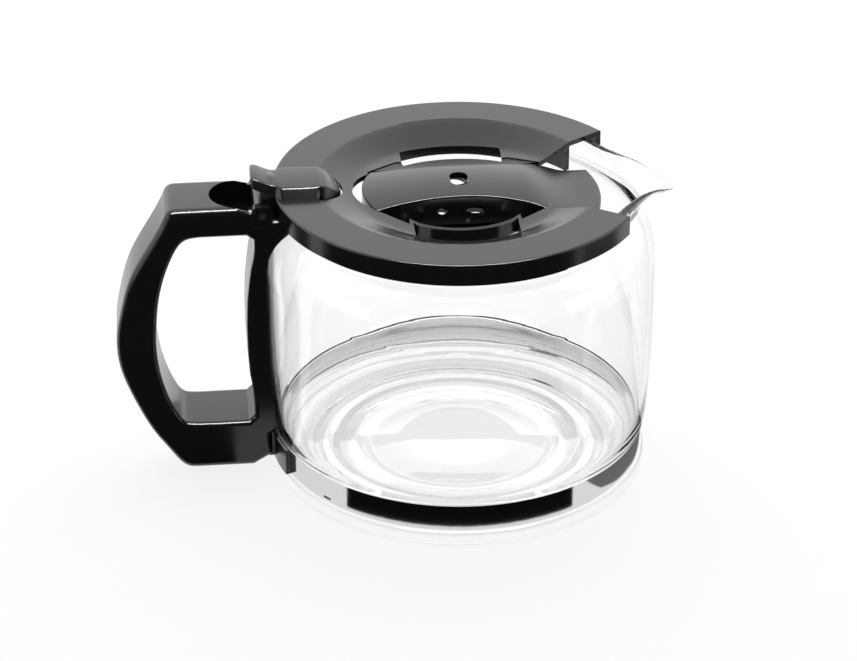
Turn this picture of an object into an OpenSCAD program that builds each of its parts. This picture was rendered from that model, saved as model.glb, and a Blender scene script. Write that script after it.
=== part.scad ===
// Coffee server carafe: a clear glass jug held by a steel base band, with a
// moulded loop handle and a hinged lid whose dish, saddle and slots let the
// brew drip in. The origin lies on the jug's axis, on the plane it stands on.
// The spout points along +X and the handle along -X.

/* [Glass jug] */
// Radius of the body at its widest
body_radius = 75; // [73:0.5:80]
// Height of the mouth's rim
jug_height = 115.7; // [112:0.1:122]
// Radius of the neck
neck_radius = 65; // [63:0.5:67]
// Height of the neck
neck_height = 10.2; // [9.6:0.1:12]
// Height of the shoulder below the neck
shoulder_height = 19.5; // [14:0.5:24]
// Thickness of the glass wall
glass_wall = 2.2; // [1.6:0.1:2.8]
// Thickness of the glass floor
floor_wall = 3.6; // [2.6:0.1:5]
// Outer radius of the bead that the jug stands on
bead_radius = 72.8; // [72.2:0.1:74]
// Height of that bead
bead_height = 6.3; // [5:0.1:7]
// Radius of the recess under the floor
recess_radius = 47.5; // [40:0.5:56]
// Depth of the recess under the floor
recess_depth = 1.6; // [1:0.1:2.4]
// How far the spout reaches beyond the neck
spout_reach = 18.2; // [15:0.2:20]
// Radius of the spout's tip
tip_radius = 5; // [4:0.1:6.5]
// How far the spout's rim falls at its tip
tip_drop = 5.7; // [4:0.1:7]

/* [Base band] */
// Outer radius of the band
band_radius = 71.6; // [71:0.1:72]
// Thickness of the band
band_wall = 0.7; // [0.5:0.1:1]
// Width of the band
band_width = 10.6; // [9:0.1:12]
// Length of the lugs bent out into the handle's foot
lug_length = 12; // [10:0.5:14]
// Radius of the clamping screw's thread
screw_radius = 2; // [1.5:0.1:2.4]

/* [Handle] */
// How far the handle reaches beyond the body
handle_reach = 56.4; // [50:0.5:66]
// Width of the handle
handle_width = 26.8; // [25.6:0.2:30]
// Height of the handle's foot above the standing plane
handle_lift = 3.9; // [3:0.1:6]
// Thickness of the handle over the finger opening
bridge_wall = 11.8; // [11.4:0.1:14]
// Thickness of the handle under the finger opening
foot_wall = 20.2; // [19:0.2:24]
// Thickness of the strip that lies against the glass
strip_wall = 5.4; // [4.6:0.1:7]
// Thickness of the grip
grip_wall = 15; // [12:0.5:18]
// Radius of the handle's rounded edges
edge_round = 3; // [1.5:0.25:4]
// Thickness of the side walls of the thumb recess
recess_side_wall = 1.2; // [1:0.1:2]
// Thickness of the collar that grips the neck
collar_wall = 2; // [1.4:0.1:2.2]

/* [Hinge] */
// Distance from the lid's edge out to the hinge axis
hinge_offset = 4.7; // [4.5:0.1:5.6]
// Depth of the hinge axis below the lid's top
hinge_depth = 5.5; // [5.3:0.1:6]
// Radius of the hinge pin
pin_radius = 1.5; // [1.2:0.1:1.8]
// Radius of the barrel on the lid
barrel_radius = 3.6; // [3.2:0.1:3.8]
// Radius of the ears on the handle
ear_radius = 4.3; // [3.9:0.1:4.5]
// Thickness of each ear
ear_wall = 4; // [3:0.1:4.6]

/* [Lid] */
// Thickness of the lid's walls
lid_wall = 2; // [1.6:0.1:2.4]
// Width of the flat ring round the lid
ring_width = 17; // [15:0.5:19]
// Height of the rim wall round the lid
rim_height = 7.5; // [6.5:0.1:8]
// Width of the dish's slope
dish_width = 12.7; // [11.5:0.1:14]
// Depth of the dish beside the slots
dish_depth = 5.9; // [4.6:0.1:6.6]
// Depth of the dish towards the spout and the handle
dish_shallow_depth = 3.1; // [2.4:0.1:4]
// Height of the skirt that hangs into the mouth
skirt_height = 10; // [7:0.5:14]
// Half angle of the pouring notch
notch_angle = 33; // [30:0.5:36]
// Width of the two drip slots
slot_width = 9.6; // [8:0.1:11]
// Half length of the two drip slots
slot_half = 19.5; // [17:0.5:21]

/* [Flow insert] */
// Half width of the saddle at its waist
waist_half = 13.1; // [12:0.1:14.5]
// Half width of the saddle at its handle end
tail_half = 16.8; // [16:0.1:17.2]
// Half width of the saddle where the tongue starts
head_half = 19.6; // [18.5:0.1:20.5]
// Reach of the saddle towards the handle
tail_reach = 36.7; // [35.8:0.1:37.4]
// Reach of the saddle towards the spout
head_reach = 33; // [32:0.2:34]
// How far the saddle's crown stands above the lid's ring
crown_rise = 0.3; // [0:0.1:1.5]
// Radius of the crown across the saddle
crown_radius = 90; // [60:1:120]
// Thickness of the saddle's roof
roof_wall = 3.5; // [2:0.1:4]
// Depth of the pockets' floor below the lid's ring
pocket_depth = 9.3; // [8.5:0.1:10.5]
// Radius of the pockets' floor
pocket_radius = 22; // [20:0.5:24]
// Half width of the tongue
tongue_half = 17; // [15:0.5:18]
// Depth of the tongue below the lid's ring
tongue_depth = 6.8; // [6:0.1:8]
// Width of the steam vent
vent_width = 6.8; // [5:0.2:9]
// Length of the steam vent
vent_length = 11; // [9.4:0.2:14]

/* [Thumb lever] */
// Height of the lever's top above the lid's ring
lever_height = 4; // [3:0.1:5]
// Half width of the lever's top
lever_top_half = 8.8; // [7:0.1:9]
// Half width of the lever's foot
lever_foot_half = 12.5; // [11:0.1:13]
// How far the thumb tab overhangs the lid's edge
tab_reach = 8.4; // [7:0.1:9]
// How far the thumb tab rises above the lever's top
tab_rise = 3.5; // [2:0.1:4.5]
// How far the lever's nose runs down into the dish
nose_reach = 8.7; // [7:0.1:9.4]

/* [Hidden] */
$fn = 96;
// Overrun of every cut
over = 1;
// Clearance of seated pieces of one body
fit = 0.1;
// Clearance between the resting lid and what it rests on
lid_gap = 0.3;
// Clearance of the swinging barrel and lever from the handle
swing_gap = 0.5;
// Running clearance of the pin in the barrel, and its press in the ears
run_gap = 0.05;
press = 0.02;
// Facets across the hulled spout
hull_fn = 48;

// Heights and radii that several pieces share
neck_foot_z = jug_height - neck_height;
shoulder_z = neck_foot_z - shoulder_height;
ring_under_z = jug_height + lid_gap;
lid_top_z = ring_under_z + lid_wall;
collar_gap = 0.2;
rim_gap = 1.1;
lid_radius = neck_radius + collar_gap + collar_wall + rim_gap + lid_wall;
dish_radius = lid_radius - ring_width;
slot_radius = dish_radius - dish_width;
lip_radius = slot_radius - slot_width;
lip_wall = 1.8;
groove_radius = band_radius - band_wall - fit;
band_low_z = bead_height + 0.5 * band_wall;
band_top_z = band_low_z + band_width;
hinge_x = -lid_radius - hinge_offset;
hinge_z = lid_top_z - hinge_depth;
handle_half = handle_width / 2;
handle_top_z = ring_under_z;
barrel_half = handle_half - ear_wall - lid_gap - fit;

// Glass profile: how far each step lies up the flank or shoulder, and how far in
flank_height = 32;
flank_step = 0.8;
flank_up_shares = [0, 0.03, 0.11, 0.25, 0.47, 0.75, 1];
flank_in_shares = [1, 0.84, 0.65, 0.49, 0.35, 0.12, 0];
shoulder_up_shares = [0, 0.16, 0.3, 0.42, 0.53, 0.64, 0.74, 0.83, 0.91, 0.96, 1];
shoulder_in_shares = [0, 0.01, 0.04, 0.09, 0.17, 0.28, 0.42, 0.58, 0.78, 0.91, 1];
bead_round = 1.6;
rim_round = glass_wall / 2;
floor_round = 9;
recess_slope = 6.5;
arc_steps = 6;

function arc(cx, cz, r, from, to) = [
    for (i = [0 : arc_steps])
        let (a = from + (to - from) * i / arc_steps)
        [cx + r * cos(a), cz + r * sin(a)]
];

// Outer skin of the glass from the band's groove up to the neck
function side_points(grow) = let (
    foot_r = band_radius + flank_step,
    top_z = band_top_z + 0.5 * band_wall
) concat(
    [[groove_radius + grow, bead_height], [groove_radius + grow, top_z - grow]],
    [for (i = [0 : len(flank_up_shares) - 1]) [
        body_radius - (body_radius - foot_r) * flank_in_shares[i] + grow,
        top_z + flank_height * flank_up_shares[i] - (i == 0 ? grow : 0)
    ]],
    [for (i = [0 : len(shoulder_up_shares) - 1]) [
        body_radius - (body_radius - neck_radius) * shoulder_in_shares[i] + grow,
        shoulder_z + shoulder_height * shoulder_up_shares[i] + grow * shoulder_in_shares[i]
    ]]
);

module glass_outside(grow = 0) {
    rotate_extrude()
        polygon(concat(
            [[0, recess_depth], [recess_radius - recess_slope, recess_depth], [recess_radius, 0]],
            arc(bead_radius - bead_round + grow, bead_round, bead_round, -90, 0),
            arc(bead_radius - bead_round + grow, bead_height - bead_round, bead_round, 0, 90),
            side_points(grow),
            arc(neck_radius - rim_round + grow, jug_height - rim_round, rim_round, 0, 90),
            [[0, jug_height]]
        ));
}

module glass_inside() {
    inner = [for (p = side_points(0)) [p[0] - glass_wall, p[1]]];
    floor_z = recess_depth + floor_wall;
    side = [for (p = inner) if (p[1] > floor_z + floor_round) p];
    rotate_extrude()
        polygon(concat(
            [[0, floor_z]],
            arc(side[0][0] - floor_round, floor_z + floor_round, floor_round, -90, 0),
            side,
            arc(neck_radius - rim_round, jug_height - rim_round, rim_round, 180, 90),
            [[neck_radius - rim_round, jug_height + over], [0, jug_height + over]]
        ));
}

// Front slice of a disc, hulled to the spout's small round tip
module spout_form(neck_r, tip_r, low_z, tip_z, top_z) {
    slice_share = 0.6;
    hull($fn = hull_fn) {
        intersection() {
            translate([0, 0, low_z])
                cylinder(r = neck_r, h = top_z - low_z);
            translate([neck_r * slice_share, -neck_r, 0])
                cube([neck_r, 2 * neck_r, top_z]);
        }
        translate([neck_radius + spout_reach - tip_radius, 0, tip_z])
            cylinder(r = tip_r, h = top_z - tip_z);
    }
}

// Side view of the spout: level rim that rolls down to the tip
module spout_side() {
    fall_start = neck_radius + spout_reach * 0.3;
    fall_width = spout_reach * 0.7;
    fall_share = 2;
    rotate([90, 0, 0])
        linear_extrude(height = 2 * neck_radius, center = true)
            polygon(concat(
                [[0, shoulder_z], [0, jug_height]],
                [for (i = [0 : arc_steps + 2])
                    let (t = i / (arc_steps + 2))
                    [fall_start + fall_width * t, jug_height - tip_drop * pow(t, fall_share)]],
                [[neck_radius + spout_reach + over, jug_height - tip_drop],
                 [neck_radius + spout_reach + over, shoulder_z]]
            ));
}

module glass_jug() {
    spout_low_share = 0.45;
    color([0.86, 0.9, 0.92, 0.35])
        difference() {
            union() {
                glass_outside();
                intersection() {
                    spout_form(neck_radius, tip_radius, neck_foot_z - spout_low_share * neck_height,
                        jug_height - tip_drop - glass_wall, jug_height);
                    spout_side();
                }
            }
            glass_inside();
            spout_form(neck_radius - glass_wall, tip_radius - glass_wall / 2,
                neck_foot_z - spout_low_share * neck_height + glass_wall,
                jug_height - tip_drop, jug_height + over);
        }
}

// Places of the clamp inside the handle's foot
lug_half = 7;
lug_hole_share = 0.62;
screw_x = -band_radius - lug_length * lug_hole_share;
screw_z = band_low_z + band_width / 2;
nut_height = 3.2;
nut_across = 3.5 * screw_radius;
nut_radius = nut_across / 2 / cos(30);
screw_head_radius = 1.8 * screw_radius;
screw_head_height = 1.2 * screw_radius;
head_seat_y = lug_half + band_wall + 2.4 * fit + screw_head_height;
slit_angle = -140;
slit_length = 3.6;
slit_height = 1;

module along_y(x, z) {
    translate([x, 0, z])
        rotate([90, 0, 0])
            children();
}

module base_band() {
    color("silver")
        difference() {
            union() {
                difference() {
                    translate([0, 0, band_low_z])
                        cylinder(r = band_radius, h = band_width);
                    translate([-2 * band_radius, -lug_half, 0])
                        cube([2 * band_radius, 2 * lug_half, 2 * band_top_z]);
                }
                for (side = [-1, 1])
                    translate([-band_radius - lug_length, side > 0 ? lug_half : -lug_half - band_wall, band_low_z])
                        cube([lug_length + band_wall, band_wall, band_width]);
            }
            translate([0, 0, band_low_z - over])
                cylinder(r = band_radius - band_wall, h = band_width + 2 * over);
            along_y(screw_x, screw_z)
                cylinder(r = screw_radius + fit, h = 4 * lug_half, center = true);
            rotate([0, 0, slit_angle])
                translate([groove_radius, -slit_length / 2, band_low_z + slit_height])
                    cube([2 * band_wall + over, slit_length, slit_height]);
        }
}

module band_screw() {
    drive_depth_share = 0.55;
    drive_width_share = 0.3;
    thread_end = lug_half + band_wall + fit + nut_height + screw_radius / 2;
    color("gainsboro")
        along_y(screw_x, screw_z)
            difference() {
                union() {
                    translate([0, 0, -head_seat_y])
                        cylinder(r = screw_head_radius, h = screw_head_height);
                    translate([0, 0, -head_seat_y + screw_head_height / 2])
                        cylinder(r = screw_radius, h = head_seat_y - screw_head_height / 2 + thread_end);
                }
                for (turn = [0, 90])
                    rotate([0, 0, turn])
                        translate([0, 0, -head_seat_y])
                            cube([drive_width_share * screw_head_radius, 1.3 * screw_head_radius,
                                2 * drive_depth_share * screw_head_height], center = true);
            }
}

module band_nut() {
    color("silver")
        translate([0, -lug_half - band_wall - fit, 0])
            along_y(screw_x, screw_z)
                difference() {
                    cylinder(r = nut_radius, h = nut_height, $fn = 6);
                    translate([0, 0, -over])
                        cylinder(r = screw_radius + run_gap, h = nut_height + 2 * over);
                }
}

// Corner cutting turns a few chosen points into a smooth outline
function cut_corners(p) = [
    for (i = [0 : len(p) - 1])
        let (a = p[i], b = p[(i + 1) % len(p)])
        each [a * 0.75 + b * 0.25, a * 0.25 + b * 0.75]
];

// The same for an open row of points, whose two end corners stay sharp
function cut_row(p) = [
    for (i = [0 : len(p) - 2])
        let (a = p[i], b = p[i + 1])
        each concat(
            i > 0 ? [a * 0.75 + b * 0.25] : [],
            i < len(p) - 2 ? [a * 0.25 + b * 0.75] : []
        )
];

// Moves every edge of an outline inwards by d
least_length = 0.000001;
function unit(v) = v / max(norm(v), least_length);
function inset(p, d) = [
    for (i = [0 : len(p) - 1])
        let (
            n = len(p),
            e1 = unit(p[i] - p[(i + n - 1) % n]),
            e2 = unit(p[(i + 1) % n] - p[i]),
            m = unit([-e1[1] - e2[1], e1[0] + e2[0]])
        )
        p[i] + m * d / (m * [-e1[1], e1[0]])
];

// A plate along Y between two side faces, its edges rounded by depth r. The
// outline's first point sees all the others.
// A negative r flares the edges out, for the cut of an opening, and the cut
// then runs on beyond both faces.
module round_plate(outline, half, r, turns = 3) {
    n = len(outline);
    depth = abs(r);
    levels = concat(
        [for (k = [0 : turns]) let (a = 90 * k / turns) [half - depth * (1 - sin(a)), r * (1 - cos(a))]],
        r < 0 ? [[half + over, r]] : []
    );
    rings = concat(
        [for (k = [len(levels) - 1 : -1 : 0]) [-levels[k][0], levels[k][1]]],
        levels
    );
    points = [for (g = rings) each [for (q = inset(outline, g[1])) [q[0], g[0], q[1]]]];
    count = len(rings);
    polyhedron(
        points = points,
        faces = concat(
            [[0, for (i = [n - 1 : -1 : 1]) i]],
            [[for (i = [0 : n - 1]) (count - 1) * n + i]],
            [for (k = [0 : count - 2], i = [0 : n - 1])
                each [
                    [k * n + i, (k + 1) * n + (i + 1) % n, (k + 1) * n + i],
                    [k * n + i, k * n + (i + 1) % n, (k + 1) * n + (i + 1) % n]
                ]]
        )
    );
}

// Handle outline: shares of the reach beyond the body and of the height
outer_reach_shares = [0.5, 0.625, 0.66, 0.72, 0.855, 0.92, 0.965, 1.005,
    1.01, 0.985, 0.9, 0.8, 0.7, 0.62, 0.56, 0.5, -0.02, -0.02];
outer_up_shares = [1, 1, 0.955, 0.9, 0.79, 0.715, 0.63, 0.54,
    0.46, 0.38, 0.265, 0.155, 0.085, 0.025, 0.002, 0, 0, 0.16];

function handle_outline() = concat(
    [[head_front_x, hook_top_z]],
    cut_row(concat(
        [[head_front_x, hook_top_z], [head_front_x, handle_top_z]],
        [for (i = [0 : len(outer_reach_shares) - 1]) [
            -body_radius - handle_reach * outer_reach_shares[i],
            handle_lift + (handle_top_z - handle_lift) * outer_up_shares[i]
        ]],
        [[-hook_share * neck_radius, open_low_z], [-hook_share * neck_radius, hook_top_z],
         [head_front_x, hook_top_z]]
    ))
);

// Finger opening: shares of its own width and height
open_reach_shares = [1.005, 1.01, 0.985, 0.92, 0.845, 0.77, 0.66, 0.3, 0.05, 0.045,
    0.1, 0.1, 0.05, 0, 0, 0.3, 0.58, 0.7, 0.79, 0.9, 0.975];
open_up_shares = [0.5, 0.4, 0.28, 0.16, 0.07, 0.01, 0, 0, 0, 0.12,
    0.3, 0.6, 0.8, 0.9, 1, 1, 1, 0.985, 0.925, 0.8, 0.66];

open_low_z = handle_lift + foot_wall;
open_top_z = handle_top_z - bridge_wall;
open_front_inset = 2;
open_flare_share = 0.72;
open_front_x = -body_radius - strip_wall + open_front_inset;
open_back_x = -body_radius - handle_reach + grip_wall;

function opening_outline() = [
    for (i = [0 : len(open_reach_shares) - 1]) [
        open_front_x + (open_back_x - open_front_x) * open_reach_shares[i],
        open_low_z + (open_top_z - open_low_z) * open_up_shares[i]
    ]
];

hook_top_z = lid_top_z - rim_height - lid_gap;
recess_half = handle_half - recess_side_wall;
recess_floor_wall = 1.8;
recess_length = 19.5;
recess_floor_z = handle_top_z - bridge_wall + recess_floor_wall;
recess_back_x = hinge_x - recess_length;
head_front_x = hinge_x - 0.6 * ear_radius;
hook_share = 0.7;
collar_low_z = neck_foot_z + 0.25 * neck_height;
collar_top_z = jug_height - 0.1 * neck_height;
collar_end_angle = 120;
saddle_angle = 20;
saddle_wall = 2.2;
ear_inner = handle_half - ear_wall;

// A sector of a ring about the jug's axis, centred on the handle's side
module ring_sector(inner, outer, low, high, half_angle) {
    reach = 2 * outer;
    difference() {
        translate([0, 0, low])
            cylinder(r = outer, h = high - low);
        translate([0, 0, low - over])
            cylinder(r = inner, h = high - low + 2 * over);
        translate([0, 0, low - over])
            linear_extrude(height = high - low + 2 * over)
                polygon(concat(
                    [[0, 0]],
                    [for (i = [0 : 4])
                        let (a = -180 + half_angle + (360 - 2 * half_angle) * i / 4)
                        reach * [cos(a), sin(a)]]
                ));
    }
}

// Space in the handle's head for the lid's barrel and web, in side view
module barrel_room() {
    low_z = hinge_z - barrel_radius - 1.4 * swing_gap;
    back_x = hinge_x - ear_radius - 1.6 * swing_gap;
    rotate([90, 0, 0])
        linear_extrude(height = 2 * ear_inner, center = true)
            polygon([
                [back_x, handle_top_z + over], [back_x, hinge_z - barrel_radius / 2],
                [hinge_x - barrel_radius, low_z], [-neck_radius - collar_gap - collar_wall, low_z],
                [-neck_radius - collar_gap - collar_wall, handle_top_z + over]
            ]);
}

module thumb_recess() {
    steps = 12;
    centre_x = recess_back_x + recess_half;
    front_x = hinge_x - ear_radius - swing_gap;
    translate([0, 0, recess_floor_z])
        linear_extrude(height = handle_top_z)
            polygon(concat(
                [for (i = [0 : steps])
                    let (a = 90 + 180 * i / steps)
                    [centre_x + recess_half * cos(a), recess_half * sin(a)]],
                [[front_x, -recess_half], [front_x, recess_half]]
            ));
}

// Room for the band's lugs, the nut's seat and the way of the screw
module clamp_room() {
    room_half = lug_half + band_wall + fit;
    translate([-band_radius - lug_length - 2 * fit, -room_half, band_low_z - 2 * fit])
        cube([lug_length + 2 * band_wall, 2 * room_half, band_width + 4 * fit]);
    translate([0, over - room_half, 0])
        along_y(screw_x, screw_z)
            cylinder(r = nut_radius + fit, h = nut_height + 2 * fit + over, $fn = 6);
    along_y(screw_x, screw_z)
        cylinder(r = screw_radius + fit, h = 2 * (room_half + nut_height + screw_radius / 2 + fit), center = true);
    translate([0, handle_half + over, 0])
        along_y(screw_x, screw_z)
            cylinder(r = screw_head_radius + 2 * fit, h = handle_half + over - head_seat_y + screw_head_height);
}

module handle() {
    saddle_half = handle_half - edge_round;
    color([0.12, 0.12, 0.13])
        difference() {
            union() {
                difference() {
                    round_plate(handle_outline(), handle_half, edge_round);
                    round_plate(cut_corners(opening_outline()), handle_half + fit, -open_flare_share * edge_round);
                }
                // Ears, rounded over about the pin
                along_y(hinge_x, hinge_z)
                    intersection() {
                        cylinder(r = ear_radius, h = handle_width - 4 * fit, center = true);
                        cube([3 * ear_radius, 2 * (handle_top_z - fit - hinge_z), handle_width], center = true);
                    }
                // Collar that grips the neck, hidden inside the lid's rim
                ring_sector(neck_radius - collar_wall, neck_radius + collar_gap + collar_wall,
                    collar_low_z, collar_top_z, collar_end_angle);
                // Saddle that carries the band's ends
                ring_sector(band_radius + fit, band_radius + fit + saddle_wall,
                    band_low_z, band_top_z, saddle_angle);
                difference() {
                    translate([-body_radius - strip_wall, -saddle_half, band_low_z + fit])
                        cube([2 * strip_wall, 2 * saddle_half, band_width - 2 * fit]);
                    translate([0, 0, band_low_z - over])
                        cylinder(r = band_radius + 2 * fit, h = band_width + 2 * over);
                }
            }
            glass_outside(fit);
            barrel_room();
            thumb_recess();
            // Pin bore through both ears
            along_y(hinge_x, hinge_z)
                cylinder(r = pin_radius - press, h = handle_width + over, center = true);
            clamp_room();
        }
}

module hinge_pin() {
    color("gainsboro")
        along_y(hinge_x, hinge_z)
            cylinder(r = pin_radius, h = handle_width - 6 * fit, center = true);
}

// A solid between two grids of points, the upper one over the lower one
module grid_solid(top, low) {
    rows = len(top);
    cols = len(top[0]);
    half = rows * cols;
    function at(i, j) = i * cols + j;
    polyhedron(
        points = concat([for (r = top) each r], [for (r = low) each r]),
        faces = concat(
            [for (i = [0 : rows - 2], j = [0 : cols - 2]) each [
                [at(i, j), at(i, j + 1), at(i + 1, j + 1)],
                [at(i, j), at(i + 1, j + 1), at(i + 1, j)],
                [half + at(i, j), half + at(i + 1, j + 1), half + at(i, j + 1)],
                [half + at(i, j), half + at(i + 1, j), half + at(i + 1, j + 1)]
            ]],
            [for (j = [0 : cols - 2]) each [
                [at(0, j), half + at(0, j), half + at(0, j + 1)],
                [at(0, j), half + at(0, j + 1), at(0, j + 1)],
                [at(rows - 1, j), at(rows - 1, j + 1), half + at(rows - 1, j + 1)],
                [at(rows - 1, j), half + at(rows - 1, j + 1), half + at(rows - 1, j)]
            ]],
            [for (i = [0 : rows - 2]) each [
                [at(i, 0), at(i + 1, 0), half + at(i + 1, 0)],
                [at(i, 0), half + at(i + 1, 0), half + at(i, 0)],
                [at(i, cols - 1), half + at(i, cols - 1), half + at(i + 1, cols - 1)],
                [at(i, cols - 1), half + at(i + 1, cols - 1), at(i + 1, cols - 1)]
            ]]
        )
    );
}

// Depth of the dish: steep beside the slots, shallow towards spout and handle
dish_shares = [-0.08, 0.05, 0.2, 0.4, 0.6, 0.8, 0.94, 1.06, 1.2, 1.4, 1.6];
fall_shares = [0.04, 0.09, 0.22, 0.41, 0.6, 0.795, 0.92, 0.985, 1.01, 1.02, 1.02];
dish_steps = 45;
dish_overlap_angle = 5;

function dish_point(i, k, lower) = let (
    start = notch_angle - dish_overlap_angle,
    a = start + (360 - 2 * start) * i / dish_steps,
    r = dish_radius - dish_width * dish_shares[k],
    depth = dish_shallow_depth + (dish_depth - dish_shallow_depth) * pow(sin(a), 2)
) [r * cos(a), r * sin(a), lid_top_z - depth * fall_shares[k] - lower];

// Plan of the hole that the insert fills
corner_x = 21.7;
corner_y = 27;
tail_corner_x = 33.5;
crescent_radius = 19;
crescent_x = -21.5;

module core_plan(gap) {
    tail_y = tail_half - gap;
    polygon([
        [head_reach, head_half - gap], [corner_x, corner_y - gap], [-corner_x, corner_y - gap],
        [-tail_corner_x + gap, tail_y], [-tail_corner_x + gap, -tail_y], [-corner_x, -corner_y + gap],
        [corner_x, -corner_y + gap], [head_reach, -head_half + gap]
    ]);
}

module slot_plan(gap) {
    for (turn = [90, -90])
        rotate(turn)
            intersection() {
                difference() {
                    circle(r = slot_radius);
                    circle(r = lip_radius - gap);
                }
                translate([0, -slot_half])
                    square([lid_radius, 2 * slot_half]);
            }
}

module notch_plan() {
    reach = 2 * lid_radius;
    polygon([
        [head_reach, -head_half], [reach * cos(notch_angle), -reach * sin(notch_angle)],
        [reach, 0], [reach * cos(notch_angle), reach * sin(notch_angle)], [head_reach, head_half]
    ]);
}

lever_front_x = -dish_radius + nose_reach;
nose_radius = 1.04 * lever_foot_half;
nose_angle = 74;
nose_steps = 13;

function nose_arc(gap) = [
    for (i = [0 : nose_steps])
        let (a = nose_angle * (2 * i / nose_steps - 1))
        [lever_front_x - nose_radius + (nose_radius + gap) * cos(a), (nose_radius + gap) * sin(a)]
];

module lid() {
    top_round = 0.8;
    rim_low_z = lid_top_z - rim_height;
    web_low_z = hinge_z - 0.8 * barrel_radius;
    color([0.1, 0.1, 0.11])
        difference() {
            union() {
                difference() {
                    union() {
                        rotate_extrude()
                            polygon(concat(
                                [[dish_radius, ring_under_z], [lid_radius - lid_wall, ring_under_z],
                                 [lid_radius - lid_wall, rim_low_z], [lid_radius, rim_low_z]],
                                arc(lid_radius - top_round, lid_top_z - top_round, top_round, 0, 90),
                                [[dish_radius, lid_top_z]]
                            ));
                        // Skirt that hangs into the mouth
                        translate([0, 0, ring_under_z - skirt_height])
                            difference() {
                                cylinder(r = dish_radius + 0.35 * lid_wall, h = skirt_height + lid_wall / 2);
                                translate([0, 0, -over])
                                    cylinder(r = dish_radius - 0.65 * lid_wall, h = skirt_height + lid_wall + over);
                            }
                        grid_solid(
                            [for (i = [0 : dish_steps]) [for (k = [0 : len(dish_shares) - 1]) dish_point(i, k, 0)]],
                            [for (i = [0 : dish_steps]) [for (k = [0 : len(dish_shares) - 1]) dish_point(i, k, lid_wall)]]
                        );
                    }
                    translate([0, 0, ring_under_z - skirt_height - over])
                        linear_extrude(height = skirt_height + lid_wall + 2 * over) {
                            core_plan(0);
                            slot_plan(0);
                            notch_plan();
                            translate([crescent_x, 0])
                                circle(r = crescent_radius);
                        }
                    // Slot for the lever's nose
                    translate([0, 0, ring_under_z - skirt_height - over])
                        linear_extrude(height = skirt_height + lid_wall + 2 * over)
                            intersection() {
                                translate([lever_front_x - nose_radius, 0])
                                    circle(r = nose_radius + 2 * lid_gap);
                                translate([-dish_radius, -lever_foot_half - 2 * lid_gap])
                                    square([dish_radius, 2 * lever_foot_half + 4 * lid_gap]);
                            }
                }
                // Hinge barrel on its web
                along_y(hinge_x, hinge_z)
                    cylinder(r = barrel_radius, h = 2 * barrel_half, center = true);
                translate([hinge_x, -barrel_half, web_low_z])
                    cube([hinge_offset + 0.6 * lid_wall, 2 * barrel_half - fit, lid_top_z - lid_gap - web_low_z]);
            }
            along_y(hinge_x, hinge_z)
                cylinder(r = pin_radius + run_gap, h = 2 * barrel_half + over, center = true);
        }
}

// Saddle and tongue: a crowned bridge that narrows at its waist, then falls
// in an S to the tongue that guides the stream to the spout
saddle_steps = 14;
tongue_fall = 9;
crown_long_radius = 217;
window_shares = [[-0.41, -0.24], [0.09, 0.43]];
window_height = 3.3;

function saddle_half(x) = let (
    end_half = x < 0 ? tail_half : head_half,
    end_x = x < 0 ? tail_corner_x : head_reach
) waist_half + (end_half - waist_half) * pow(x / end_x, 2);

module saddle_plan(shrink) {
    xs = [for (i = [0 : saddle_steps]) -tail_reach + (tail_reach + head_reach) * i / saddle_steps];
    intersection() {
        polygon(concat(
            [for (x = xs) [x, -saddle_half(x) + shrink]],
            [for (i = [saddle_steps : -1 : 0]) [xs[i], saddle_half(xs[i]) - shrink]]
        ));
        circle(r = tail_reach - shrink);
    }
}

// Crown curved both along and across the saddle
module crown(drop) {
    translate([0, 0, lid_top_z + crown_rise - drop - crown_long_radius])
        rotate([90, 0, 0])
            rotate_extrude()
                intersection() {
                    translate([crown_long_radius - crown_radius, 0])
                        circle(r = crown_radius);
                    translate([0, -head_half - over])
                        square([crown_long_radius, 2 * (head_half + over)]);
                }
}

module tongue() {
    start_z = lid_top_z + crown_rise - pow(head_reach, 2) / (2 * crown_long_radius);
    end_z = lid_top_z - tongue_depth;
    steps = 2 * arc_steps;
    top = concat(
        [[head_reach - lid_wall, start_z]],
        [for (i = [0 : steps])
            let (t = i / steps)
            [head_reach + tongue_fall * t, end_z + (start_z - end_z) * (1 + cos(180 * t)) / 2]],
        [[dish_radius + over, end_z]]
    );
    intersection() {
        rotate([90, 0, 0])
            linear_extrude(height = 2 * lid_radius, center = true)
                polygon(concat(top, [for (i = [len(top) - 1 : -1 : 0]) [top[i][0], top[i][1] - lid_wall]]));
        linear_extrude(height = 2 * lid_top_z)
            intersection() {
                circle(r = dish_radius + lid_gap);
                polygon(concat(
                    [[0, -head_half]],
                    [for (i = [0 : arc_steps])
                        let (t = i / arc_steps)
                        [head_reach + tongue_fall * t, -tongue_half - (head_half - tongue_half) * (1 + cos(180 * t)) / 2]],
                    [[lid_radius, -tongue_half], [lid_radius, tongue_half]],
                    [for (i = [arc_steps : -1 : 0])
                        let (t = i / arc_steps)
                        [head_reach + tongue_fall * t, tongue_half + (head_half - tongue_half) * (1 + cos(180 * t)) / 2]],
                    [[0, head_half]]
                ));
            }
    }
}

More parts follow.
